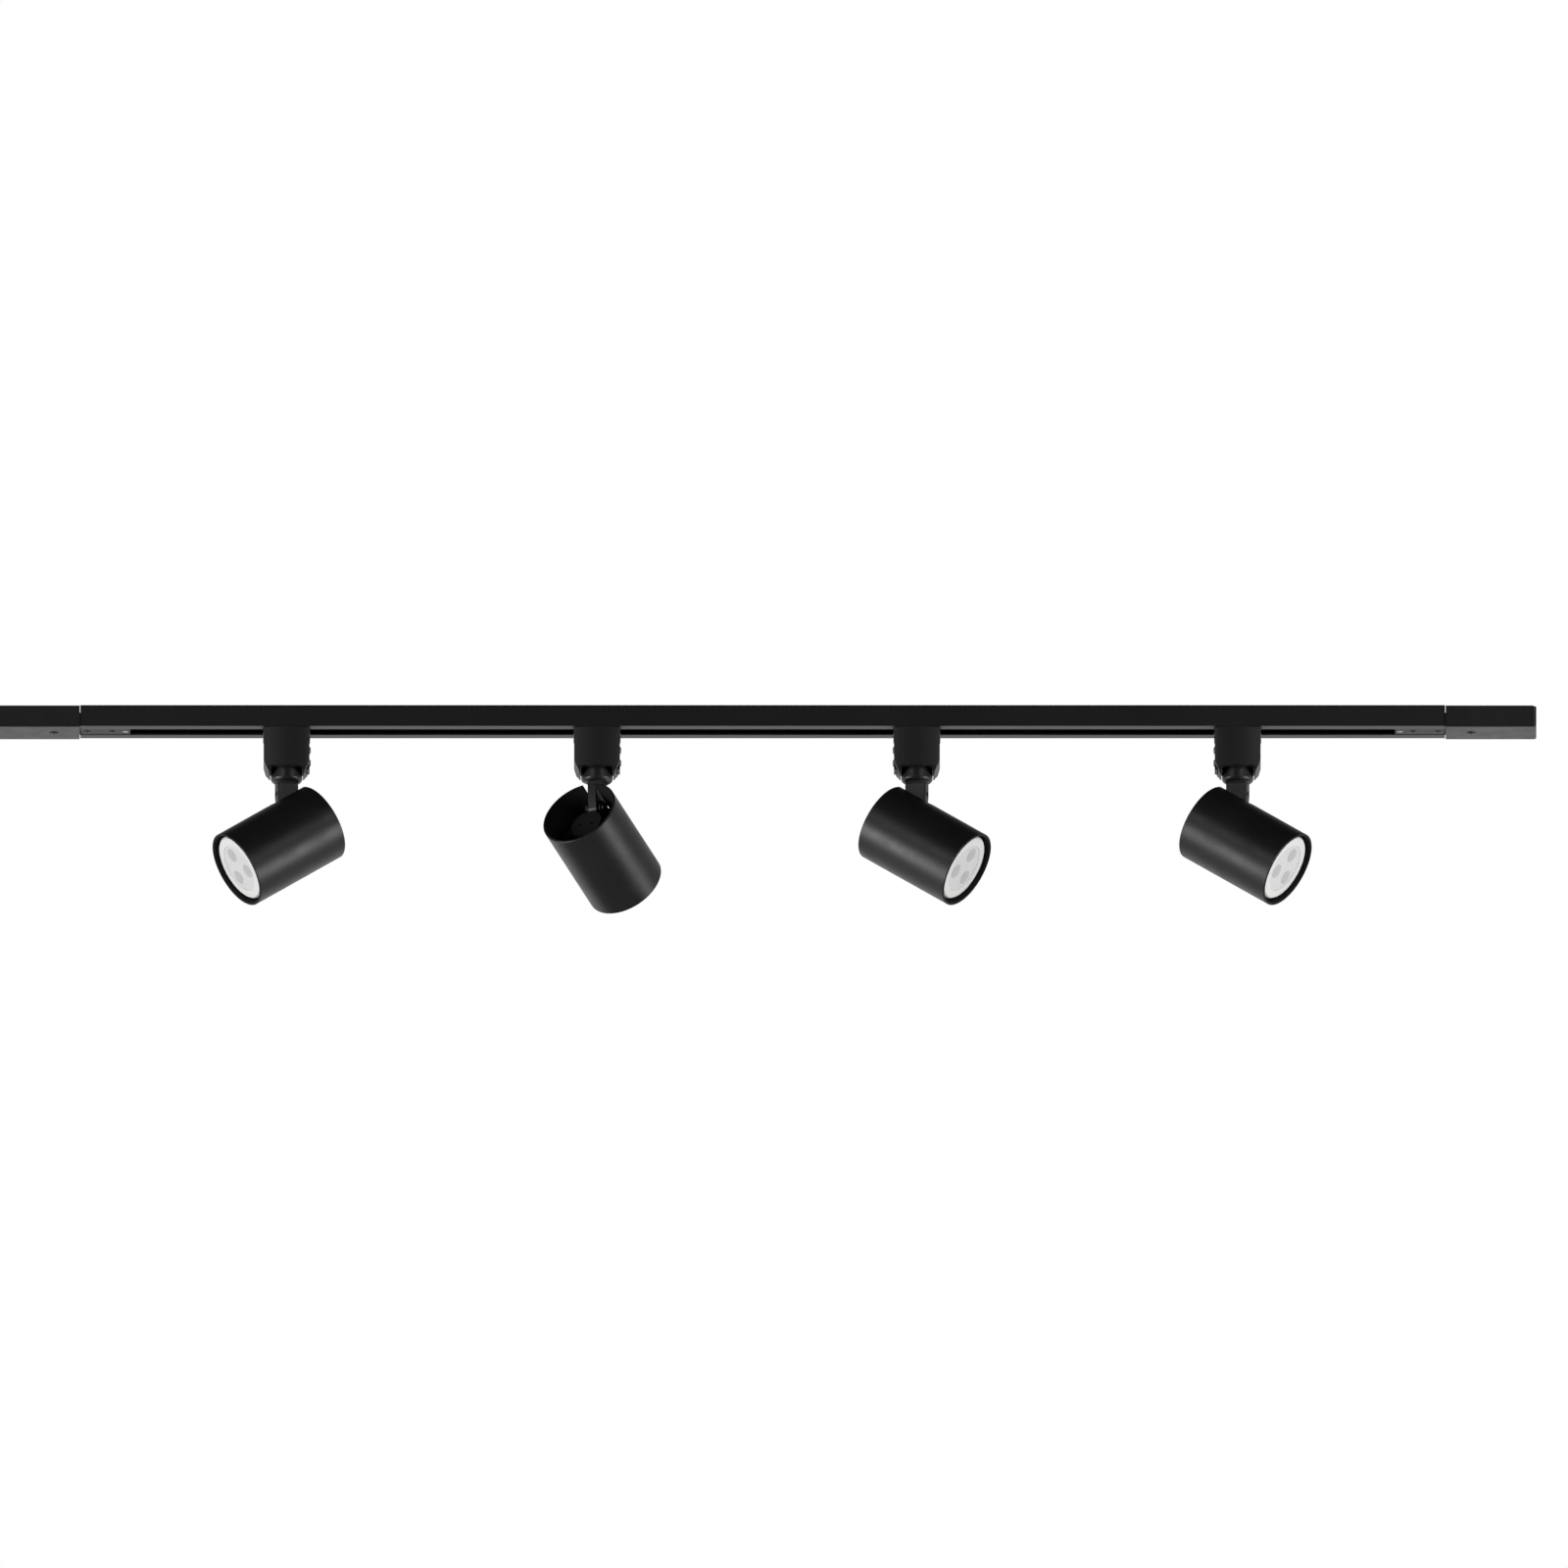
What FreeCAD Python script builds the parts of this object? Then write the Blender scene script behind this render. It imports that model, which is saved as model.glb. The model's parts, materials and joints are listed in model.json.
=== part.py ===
"""A four-head track lighting fixture, built as an assembly of its real pieces.

Frame: millimetres, origin at the centre of the face that lies on the ceiling, +X along the
track, +Z up, -Y the front. Each head hangs from an adapter that slides in the track, turns
about a vertical swivel and tilts about a pivot screw.
"""
import FreeCAD, Part
import math
import os

V = FreeCAD.Vector
X_AXIS = V(1, 0, 0)
Y_AXIS = V(0, 1, 0)
Z_AXIS = V(0, 0, 1)

# ---- overall sizes ----
TOTAL_LENGTH = 1118.0         # over both end covers
COVER_LENGTH = 66.0           # each end cover, along X
TRACK_WIDTH = 35.0
TRACK_HEIGHT = 15.6
HEADS = (                     # place along X, side of the lock tab, aim azimuth, aim below level
    (-344.0, 1, 200.0, 32.5),
    (-119.7, 1, 60.0, 29.5),
    (111.4, -1, -20.0, 32.5),
    (343.2, -1, -20.0, 32.5),
)

# ---- track channel and its conductors ----
TRACK_WALL = 1.5
LIP_THICKNESS = 1.4
SLOT_WIDTH = 15.8
SCREW_HOLE_R = 2.5            # ceiling screws, through the roof of the channel
SCREW_HOLE_SPACING = 609.6
LUG_ZONE = 3.4                # clear height above the lips, where lugs slide
INSULATOR_DEPTH = 7.4         # each insulator, in from its side wall
GROOVE_TOP = 4.5              # depth of the conductor groove's roof under the ceiling face
GROOVE_HEIGHT = 3.5
GROOVE_DEPTH = 4.6
CONDUCTOR_WIDTH = 2.2
GROUND_STRIP_WIDTH = 11.0
GROUND_STRIP_THICKNESS = 0.8

# ---- end feeds ----
COVER_SIDE_OUT = 0.8          # cover's sides beyond the track's
COVER_TOP_GAP = 1.0           # cover's edge below the ceiling face
COVER_DROP = 0.7              # cover's underside below the track's underside
COVER_WALL = 1.5
COVER_CORNER_R = 2.0
SEAM_GAP = 0.4
BASE_THICKNESS = 1.5
BASE_CLEARANCE = 0.5          # base plate to the inside of the cover
WIRE_HOLE_R = 11.1
WIRE_HOLE_FROM_SEAM = 41.0
COVER_SCREW_FROM_SEAM = 19.0
BOSS_R = 3.4
ROOT_BLOCK_LENGTH = 11.0      # block that carries the tongue
TONGUE_LENGTH = 36.0
TONGUE_PROUD = 0.3            # tongue's face above the track's underside
TONGUE_SCREWS_FROM_SEAM = (5.0, 23.0)
LOCK_SCREW_FROM_SEAM = 32.5
SMALL_SCREW_R = 1.3
SMALL_HEAD_R = 2.4
SMALL_HEAD_THICKNESS = 1.1
COVER_HEAD_R = 3.0
COVER_HEAD_THICKNESS = 1.4
LOCK_SCREW_R = 2.0
SCREW_REACH = 7.0             # end-feed screws, above the track's underside
TERMINAL_R = 1.4

# ---- adapter ----
SLIDE_GAP = 0.2               # between sliding faces of the adapter and the track
ADAPTER_WIDTH = 33.2
ADAPTER_BOW = 2.4             # how far the front and back faces bow out
ADAPTER_CORNER_R = 3.0
ADAPTER_HEIGHT = 28.4         # track's underside to the block's underside
ADAPTER_WALL = 2.0
ADAPTER_FLOOR = 3.0
FLANGE_OUT = 0.4              # flange beyond the block, each side
FLANGE_HEIGHT = 5.0
CHEEK_GAP = 23.6              # between the two cheeks that flank the swivel collar
SIDE_SLOPE_RISE = 4.4         # where the block's sides start to slope in, above its underside
SIDE_SLOPE_IN = 1.4
CHEEK_KNEE_DROP = 3.1
CHEEK_KNEE_IN = 3.4
CHEEK_DROP = 5.2
CHEEK_FOOT = 0.8              # cheek thickness left at its foot
CHEEK_FOOT_DEPTH = 18.0
LID_THICKNESS = 2.8
LID_WALL = 1.1                # housing wall left around the lid
FIT_GAP = 0.1
NECK_GAP = 0.5                # neck to each side of the slot
LUG_END_GAP = 2.5             # lugs to each side wall of the channel
LUG_SLOT_GAP = 0.9            # lugs to each side of the slot, before the quarter turn
SPINE_LENGTH = 17.0
SPINE_SIDE_GAP = 0.5          # spine to each insulator
SPINE_ROOF_GAP = 0.9          # spine to the ground strip
BLADE_LENGTH = 8.0
BLADE_THICKNESS = 1.5
BLADE_INSIDE = 3.0

# ---- lock tab ----
TAB_WIDTH = 15.0
TAB_THICKNESS = 2.0
TAB_SIDE_GAP = 0.3
TAB_NOSE_RISE = 1.7           # nose above the track's underside
TAB_BELOW_BLOCK = 1.4
TAB_TRAVEL = 3.0
TAB_RAIL_THICKNESS = 1.3
TAB_RAIL_OVERLAP = 1.7
RIB_DROPS = (13.8, 23.4)      # grip ribs below the track's underside
RIB_PROUD = 0.9
RIB_HEIGHT = 2.6
GUIDE_THICKNESS = 1.3
GUIDE_WIDTH = 2.0
GUIDE_HEIGHT = 15.0

# ---- swivel ----
STEM_R = 5.0
RUNNING_GAP = 0.05
SWIVEL_GAP = 0.1
STEM_BORE_R = 2.6
STEM_FLANGE_R = 8.0
STEM_FLANGE_THICKNESS = 2.1
STOP_R = 10.3
STOP_HALF_ANGLE = 4.75
STOP_HEIGHT = 2.0
COLLAR_CLEARANCE = 0.4        # collar to each cheek
COLLAR_RIM = 6.0
COLLAR_DOME_DROP = 3.8
COLLAR_DOME_R = 8.8
COLLAR_FOOT_R = 8.4
RIM_CLEARANCE = 0.6           # hollow under the collar to the path of the shade's rear rim
RIB_SIDE_GAP = 0.6            # collar's middle rib to each edge of the shade's slot
COLLAR_HEIGHT = 10.4
TENON_R = 4.0
TENON_HEIGHT = 7.0

# ---- arm ----
ARM_WIDTH = 15.8              # in the plane of the tilt
ARM_THICKNESS = 7.2
ARM_LENGTH = 18.1             # collar's foot to the tilt pivot
ARM_STRAIGHT = 10.0
ARM_END_R = 7.0
ARM_EDGE_R = 0.8
WIRE_BORE_R = 2.0
PIVOT_R = 2.0

# ---- shade and what it holds ----
SHADE_R = 28.8
SHADE_LENGTH = 77.3
SHADE_WALL = 1.6
PIVOT_BELOW_TOP = 7.8         # tilt pivot below the shade's top line
PIVOT_FROM_REAR = 18.2
SLOT_ARM_GAP = 1.4            # slot's edge to each side of the arm
SLOT_END_FROM_REAR = 28.2
SLOT_CORNER_R = 2.0
SHOULDER_HEIGHT = 1.4
SHOULDER_LENGTH = 1.5
PLATE_FROM_REAR = 25.2
PLATE_THICKNESS = 1.5
EAR_THICKNESS = 1.5
EAR_R = 5.0
VENT_R = 4.5
VENT_FROM_BORE = 7.2          # vent's centre in from the shade's bore
SOCKET_R = 12.0
SOCKET_REAR = 11.7
SOCKET_FLANGE_R = 14.5
SOCKET_FLANGE_THICKNESS = 2.0
PIN_SPACING = 10.0
PIN_R = 1.2
PIN_HEAD_R = 2.4
PIN_HEAD_THICKNESS = 2.2
PIN_LENGTH = 7.2
PIN_HOLE_R = 2.9
PIN_HOLE_DEPTH = 8.0
LEAD_HOLE_R = 1.2
LAMP_SIDE_GAP = 2.5           # lamp's face to the shade's bore
LAMP_RIM = 8.4
LAMP_BASE_R = 12.5
LAMP_RECESS = 2.6
LENS_BORDER = 6.7             # white rim around the lens
LENS_THICKNESS = 1.4
LENS_SEAT = 1.6
LENS_DIMPLE_R = 6.0
LENS_DIMPLE_DEPTH = 0.5
LENS_DIMPLE_OUT = 10.5
PIVOT_HEAD_R = 3.6
PIVOT_HEAD_THICKNESS = 2.2
NUT_FLATS = 7.0
NUT_THICKNESS = 2.8

# ---- sizes and places that follow ----
SEAM = TOTAL_LENGTH / 2 - COVER_LENGTH
COVER_WIDTH = TRACK_WIDTH + 2 * COVER_SIDE_OUT
CHANNEL_WIDTH = TRACK_WIDTH - 2 * TRACK_WALL
INSULATOR_GAP = CHANNEL_WIDTH - 2 * INSULATOR_DEPTH
ADAPTER_DEPTH = TRACK_WIDTH
NECK_R = SLOT_WIDTH / 2 - NECK_GAP
LUG_LENGTH = CHANNEL_WIDTH - 2 * LUG_END_GAP
LUG_WIDTH = SLOT_WIDTH - 2 * LUG_SLOT_GAP
UNDERSIDE = -TRACK_HEIGHT
LIP_TOP = UNDERSIDE + LIP_THICKNESS
INSULATOR_FOOT = LIP_TOP + LUG_ZONE
LUG_TOP = INSULATOR_FOOT - 2 * SLIDE_GAP
SPINE_TOP = -TRACK_WALL - GROUND_STRIP_THICKNESS - SPINE_ROOF_GAP
SPINE_HALF = INSULATOR_GAP / 2 - SPINE_SIDE_GAP
CONDUCTOR_FACE = INSULATOR_GAP / 2 + GROOVE_DEPTH - CONDUCTOR_WIDTH
BLADE_MIDDLE = -GROOVE_TOP - GROOVE_HEIGHT / 2
COVER_FOOT = UNDERSIDE - COVER_DROP
TONGUE_FACE = UNDERSIDE + TONGUE_PROUD
SCREW_TIP = UNDERSIDE + SCREW_REACH
HOUSING_TOP = UNDERSIDE - SLIDE_GAP
LID_FOOT = HOUSING_TOP - LID_THICKNESS
BLOCK_FOOT = UNDERSIDE - ADAPTER_HEIGHT
FLOOR_TOP = BLOCK_FOOT + ADAPTER_FLOOR
TAB_INNER = ADAPTER_WIDTH / 2 - TAB_THICKNESS
COLLAR_TOP = BLOCK_FOOT - SWIVEL_GAP
COLLAR_R = CHEEK_GAP / 2 - COLLAR_CLEARANCE
COLLAR_FOOT = COLLAR_TOP - COLLAR_HEIGHT
PIVOT_Z = COLLAR_FOOT - ARM_LENGTH
SHADE_BORE_R = SHADE_R - SHADE_WALL
PIVOT_ABOVE_AXIS = SHADE_R - PIVOT_BELOW_TOP
SLOT_IN_SHADE = ARM_THICKNESS + 2 * SLOT_ARM_GAP
RIM_ABOVE_PIVOT = math.sqrt(SHADE_R ** 2 - SLOT_IN_SHADE ** 2 / 4) - PIVOT_ABOVE_AXIS
RIM_PATH_R = math.hypot(PIVOT_FROM_REAR, RIM_ABOVE_PIVOT)
LAMP_R = SHADE_BORE_R - LAMP_SIDE_GAP
LENS_R = LAMP_R - LENS_BORDER
VENT_OUT = SHADE_BORE_R - VENT_FROM_BORE
PLATE_FRONT = PLATE_FROM_REAR + PLATE_THICKNESS
EAR_INNER = ARM_THICKNESS / 2 + RUNNING_GAP
EAR_OUTER = EAR_INNER + EAR_THICKNESS
SOCKET_FRONT = PLATE_FRONT + SOCKET_FLANGE_THICKNESS
LAMP_FRONT = SHADE_LENGTH - LAMP_RECESS


# ---- small helpers ----
def box(x0, x1, y0, y1, z0, z1):
    return Part.makeBox(x1 - x0, y1 - y0, z1 - z0, V(x0, y0, z0))


def slab(half_x, half_y, z0, z1):
    return box(-half_x, half_x, -half_y, half_y, z0, z1)


def post(radius, z0, z1, x=0.0, y=0.0):
    return Part.makeCylinder(radius, z1 - z0, V(x, y, z0), Z_AXIS)


def pin_along_y(radius, y0, y1, x=0.0, z=0.0):
    return Part.makeCylinder(radius, y1 - y0, V(x, y0, z), Y_AXIS)


def prism(points, push):
    """The closed outline through the points, pushed along a vector."""
    return Part.Face(Part.makePolygon(points + points[:1])).extrude(push)


def shell_of(solids):
    return Part.makeCompound(solids)


def join(first, *others):
    return first.multiFuse(list(others)).removeSplitter()


def carve(blank, *tools):
    return blank.cut(list(tools))


def upright_edges(shape):
    """Straight edges that run along Z."""
    found = []
    for edge in shape.Edges:
        if len(edge.Vertexes) == 2 and isinstance(edge.Curve, Part.Line):
            run = edge.Vertexes[1].Point - edge.Vertexes[0].Point
            if abs(run.x) + abs(run.y) < 1e-6:
                found.append(edge)
    return found


def flat_edges_at(shape, z):
    """Edges whose every end lies at one height."""
    return [e for e in shape.Edges if all(abs(v.Point.z - z) < 1e-6 for v in e.Vertexes)]


def turned_half(shape):
    """The same piece, turned half round the Z axis."""
    twin = shape.copy()
    twin.rotate(V(0, 0, 0), Z_AXIS, 180)
    return twin


# ---- track ----
def track_channel():
    half = SEAM
    wide = TRACK_WIDTH / 2
    body = slab(half, wide, UNDERSIDE, 0)
    hollow = slab(half + 1, wide - TRACK_WALL, LIP_TOP, -TRACK_WALL)
    slot = slab(half + 1, SLOT_WIDTH / 2, UNDERSIDE - 1, LIP_TOP + 1)
    holes = [post(SCREW_HOLE_R, -TRACK_WALL - 1, 1, x) for x in screw_places()]
    return carve(body, hollow, slot, *holes)


def screw_places():
    return (-SCREW_HOLE_SPACING / 2, SCREW_HOLE_SPACING / 2)


def one_insulator():
    """C-section strip on the rear wall; its groove faces the middle of the track."""
    inner = INSULATOR_GAP / 2
    strip = box(-SEAM, SEAM, inner, TRACK_WIDTH / 2 - TRACK_WALL, INSULATOR_FOOT, -TRACK_WALL)
    groove = box(-SEAM - 1, SEAM + 1, inner - 1, inner + GROOVE_DEPTH,
                 -GROOVE_TOP - GROOVE_HEIGHT, -GROOVE_TOP)
    return carve(strip, groove)


def one_conductor():
    end = SEAM - TRACK_WALL
    return box(-end, end, CONDUCTOR_FACE, CONDUCTOR_FACE + CONDUCTOR_WIDTH,
               -GROOVE_TOP - GROOVE_HEIGHT, -GROOVE_TOP)


def both_sides(piece):
    return shell_of([piece, turned_half(piece)])


def ground_strip():
    strip = slab(SEAM - TRACK_WALL, GROUND_STRIP_WIDTH / 2,
                 -TRACK_WALL - GROUND_STRIP_THICKNESS, -TRACK_WALL)
    holes = [post(SCREW_HOLE_R + 1, -2 * TRACK_HEIGHT, 1, x) for x in screw_places()]
    return carve(strip, *holes)


# ---- end feeds, drawn for the right-hand end ----
def end_cover():
    x0 = SEAM + SEAM_GAP
    x1 = TOTAL_LENGTH / 2
    wide = COVER_WIDTH / 2
    body = box(x0, x1, -wide, wide, COVER_FOOT, -COVER_TOP_GAP)
    corners = [e for e in upright_edges(body) if e.Vertexes[0].Point.x > x1 - 1]
    body = body.makeFillet(COVER_CORNER_R, corners)
    rim = [e for e in flat_edges_at(body, COVER_FOOT) if max(v.Point.x for v in e.Vertexes) > x0 + 1]
    body = body.makeFillet(COVER_CORNER_R / 2, rim)
    hollow = box(x0 - 1, x1 - COVER_WALL, COVER_WALL - wide, wide - COVER_WALL,
                 COVER_FOOT + COVER_WALL, 1)
    screw_x = SEAM + COVER_SCREW_FROM_SEAM
    hole = post(SMALL_SCREW_R + 0.3, COVER_FOOT - 1, 0, screw_x)
    recess = post(COVER_HEAD_R + 0.2, COVER_FOOT - 1, COVER_FOOT + COVER_HEAD_THICKNESS / 2, screw_x)
    return carve(body, hollow, hole, recess)


def feed_finger(side):
    """Copper finger from the terminal block to one live conductor."""
    x0 = SEAM - TONGUE_LENGTH + 2
    x1 = SEAM + ROOT_BLOCK_LENGTH - 2
    y0 = SPINE_HALF - BLADE_INSIDE
    z0 = BLADE_MIDDLE - BLADE_THICKNESS / 2
    run = box(x0, x1, y0, y0 + BLADE_THICKNESS, z0, z0 + BLADE_THICKNESS)
    tip = box(x0, x0 + BLADE_LENGTH, y0, CONDUCTOR_FACE, z0, z0 + BLADE_THICKNESS)
    finger = join(run, tip)
    return finger if side > 0 else finger.mirror(V(0, 0, 0), Y_AXIS)


def ground_finger():
    x0 = SEAM - TONGUE_LENGTH + 2
    x1 = SEAM + ROOT_BLOCK_LENGTH - 2
    top = -TRACK_WALL - GROUND_STRIP_THICKNESS
    half = BLADE_THICKNESS / 2
    run = box(x0, x1, -half, half, SPINE_TOP - BLADE_INSIDE, SPINE_TOP - BLADE_INSIDE / 2)
    tip = box(x0, x0 + BLADE_LENGTH, -half, half, SPINE_TOP - BLADE_INSIDE, top)
    return join(run, tip)


def feed_fingers():
    return [feed_finger(1), feed_finger(-1), ground_finger()]


def end_base():
    x0 = SEAM + SEAM_GAP
    x1 = TOTAL_LENGTH / 2 - COVER_WALL - BASE_CLEARANCE
    plate_half = COVER_WIDTH / 2 - COVER_WALL - BASE_CLEARANCE
    tip = SEAM - TONGUE_LENGTH
    block_end = SEAM + ROOT_BLOCK_LENGTH
    lug_half = LUG_LENGTH / 2
    plate = box(x0, x1, -plate_half, plate_half, -BASE_THICKNESS, 0)
    block = box(x0, block_end, -lug_half, lug_half, LIP_TOP + SLIDE_GAP, -BASE_THICKNESS)
    lugs = box(tip, block_end, -lug_half, lug_half, LIP_TOP + SLIDE_GAP, LUG_TOP)
    spine = box(tip, block_end, -SPINE_HALF, SPINE_HALF, LUG_TOP, SPINE_TOP)
    insert_half = SLOT_WIDTH / 2 - SLIDE_GAP
    insert = box(tip, SEAM - SEAM_GAP, -insert_half, insert_half, TONGUE_FACE, LUG_TOP)
    screw_x = SEAM + COVER_SCREW_FROM_SEAM
    boss = post(BOSS_R, COVER_FOOT + COVER_WALL, -BASE_THICKNESS, screw_x)
    body = join(plate, block, lugs, spine, insert, boss)
    wire_hole = post(WIRE_HOLE_R, -BASE_THICKNESS - 1, 1, SEAM + WIRE_HOLE_FROM_SEAM)
    cuts = [wire_hole, post(SMALL_SCREW_R, COVER_FOOT, SCREW_TIP, screw_x)]
    for along in TONGUE_SCREWS_FROM_SEAM:
        x = SEAM - along
        cuts.append(post(SMALL_SCREW_R, TONGUE_FACE - 1, SCREW_TIP, x))
        cuts.append(post(SMALL_HEAD_R, TONGUE_FACE - 1, TONGUE_FACE + SMALL_HEAD_THICKNESS / 2, x))
    cuts.append(post(LOCK_SCREW_R, TONGUE_FACE - 1, SCREW_TIP, SEAM - LOCK_SCREW_FROM_SEAM))
    for side in (-1, 1):
        terminal = Part.makeCylinder(TERMINAL_R, ROOT_BLOCK_LENGTH / 2,
                                     V(block_end, side * lug_half * 0.75, BLADE_MIDDLE), -X_AXIS)
        cuts.append(terminal)
    return carve(body, *cuts, *feed_fingers())


def driver_slot(x, z, radius):
    """Cross recess in the underside of a screw head."""
    arm = radius * 0.6
    return [box(x - arm, x + arm, -0.3, 0.3, z - 1, z + 0.5),
            box(x - 0.3, x + 0.3, -arm, arm, z - 1, z + 0.5)]


def headed_screw(x, seat, head_r, head_thickness):
    """Screw from below: a domed head under its seat, and a shank up into the work."""
    shank = post(SMALL_SCREW_R, seat, SCREW_TIP, x)
    head = post(head_r, seat - head_thickness, seat, x)
    head = head.makeFillet(head_thickness * 0.4, flat_edges_at(head, seat - head_thickness))
    return carve(join(head, shank), *driver_slot(x, seat - head_thickness, head_r))


def cover_screw():
    return headed_screw(SEAM + COVER_SCREW_FROM_SEAM, COVER_FOOT + COVER_HEAD_THICKNESS / 2,
                        COVER_HEAD_R, COVER_HEAD_THICKNESS)


def tongue_screws():
    seat = TONGUE_FACE + SMALL_HEAD_THICKNESS / 2
    return [headed_screw(SEAM - along, seat, SMALL_HEAD_R - 0.1, SMALL_HEAD_THICKNESS)
            for along in TONGUE_SCREWS_FROM_SEAM]


def lock_screw():
    x = SEAM - LOCK_SCREW_FROM_SEAM
    body = post(LOCK_SCREW_R - 0.1, TONGUE_FACE - 0.1, SCREW_TIP, x)
    return carve(body, *driver_slot(x, TONGUE_FACE - 0.1, LOCK_SCREW_R))


def at_both_ends(pieces):
    return shell_of(pieces + [turned_half(p) for p in pieces])


# ---- adapter, drawn about its own swivel axis, lock tab on +X ----
def plan(width, depth, z0, z1, corner):
    """Block with flat sides and bowed front and back, its corners rounded."""
    hx = width / 2
    hy = depth / 2
    side = hy - ADAPTER_BOW
    edges = [
        Part.makeLine(V(hx, -side, z0), V(hx, side, z0)),
        Part.Arc(V(hx, side, z0), V(0, hy, z0), V(-hx, side, z0)).toShape(),
        Part.makeLine(V(-hx, side, z0), V(-hx, -side, z0)),
        Part.Arc(V(-hx, -side, z0), V(0, -hy, z0), V(hx, -side, z0)).toShape(),
    ]
    body = Part.Face(Part.Wire(edges)).extrude(V(0, 0, z1 - z0))
    return body.makeFillet(corner, upright_edges(body))


def flange():
    body = plan(ADAPTER_WIDTH + 2 * FLANGE_OUT, ADAPTER_DEPTH, HOUSING_TOP - FLANGE_HEIGHT,
                HOUSING_TOP, ADAPTER_CORNER_R)
    return body.makeChamfer(FLANGE_OUT, flat_edges_at(body, HOUSING_TOP - FLANGE_HEIGHT))


def sloped_sides():
    """Outline across the block and its cheeks: upright sides that slope in towards the foot."""
    hx = ADAPTER_WIDTH / 2
    half = [(hx, HOUSING_TOP), (hx, BLOCK_FOOT + SIDE_SLOPE_RISE), (hx - SIDE_SLOPE_IN, BLOCK_FOOT),
            (hx - CHEEK_KNEE_IN, BLOCK_FOOT - CHEEK_KNEE_DROP),
            (CHEEK_GAP / 2 + CHEEK_FOOT, BLOCK_FOOT - CHEEK_DROP)]
    outline = half + [(-x, z) for x, z in reversed(half)]
    return prism([V(x, -ADAPTER_DEPTH, z) for x, z in outline], V(0, 2 * ADAPTER_DEPTH, 0))


def cheeks():
    """The two cheeks under the block, sloped in from the front and the back."""
    top = BLOCK_FOOT + 1
    foot = BLOCK_FOOT - CHEEK_DROP
    hx = ADAPTER_WIDTH / 2
    hy = ADAPTER_DEPTH / 2
    front = [(-hy, top), (hy, top), (hy, BLOCK_FOOT), (CHEEK_FOOT_DEPTH / 2, foot),
             (-CHEEK_FOOT_DEPTH / 2, foot), (-hy, BLOCK_FOOT)]
    along = prism([V(CHEEK_GAP / 2, y, z) for y, z in front], V(hx, 0, 0))
    outline = plan(ADAPTER_WIDTH, ADAPTER_DEPTH, foot - 1, top + 1, ADAPTER_CORNER_R)
    one = along.common(outline)
    return [one, turned_half(one)]


def tab_window():
    half = TAB_WIDTH / 2 + TAB_SIDE_GAP
    return box(TAB_INNER - FIT_GAP, ADAPTER_WIDTH, -half, half,
               BLOCK_FOOT - CHEEK_DROP - 1, HOUSING_TOP + 1)


def stop_sector(r0, r1, z0, z1, azimuth):
    """Radial stop, a few degrees wide."""
    half = math.radians(STOP_HALF_ANGLE)
    points = [V(r0, -r0 * math.tan(half), z0), V(r1, -r1 * math.tan(half), z0),
              V(r1, r1 * math.tan(half), z0), V(r0, r0 * math.tan(half), z0)]
    body = prism(points, V(0, 0, z1 - z0))
    body.rotate(V(0, 0, 0), Z_AXIS, azimuth)
    return body


def tab_guides():
    x1 = TAB_INNER - TAB_RAIL_THICKNESS - 2 * FIT_GAP
    y0 = TAB_WIDTH / 2 + TAB_SIDE_GAP
    return [box(x1 - GUIDE_THICKNESS, x1, y, y + GUIDE_WIDTH, FLOOR_TOP, FLOOR_TOP + GUIDE_HEIGHT)
            for y in (y0, -y0 - GUIDE_WIDTH)]


def adapter_housing():
    block = plan(ADAPTER_WIDTH, ADAPTER_DEPTH, BLOCK_FOOT, HOUSING_TOP, ADAPTER_CORNER_R)
    body = join(block, *cheeks()).common(sloped_sides())
    body = join(body, flange())
    hollow = plan(ADAPTER_WIDTH - 2 * ADAPTER_WALL, ADAPTER_DEPTH - 2 * ADAPTER_WALL,
                  FLOOR_TOP, HOUSING_TOP + 1, ADAPTER_CORNER_R)
    seat = plan(ADAPTER_WIDTH - 2 * LID_WALL, ADAPTER_DEPTH - 2 * LID_WALL,
                LID_FOOT, HOUSING_TOP + 1, ADAPTER_CORNER_R)
    hole = post(STEM_R + RUNNING_GAP, BLOCK_FOOT - 1, FLOOR_TOP + 1)
    body = carve(body, hollow, seat, tab_window(), hole)
    stop = stop_sector(STEM_FLANGE_R + 4 * FIT_GAP, STOP_R, FLOOR_TOP, FLOOR_TOP + STOP_HEIGHT, 0)
    return join(body, stop, *tab_guides())


def carrier_blades():
    """Two live blades and the ground blade of one adapter."""
    half = BLADE_LENGTH / 2
    z0 = BLADE_MIDDLE - BLADE_THICKNESS / 2
    live = box(-half, half, SPINE_HALF - BLADE_INSIDE, CONDUCTOR_FACE, z0, z0 + BLADE_THICKNESS)
    ground = slab(half, BLADE_THICKNESS / 2, SPINE_TOP - BLADE_INSIDE,
                  -TRACK_WALL - GROUND_STRIP_THICKNESS)
    return [live, turned_half(live), ground]


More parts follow.
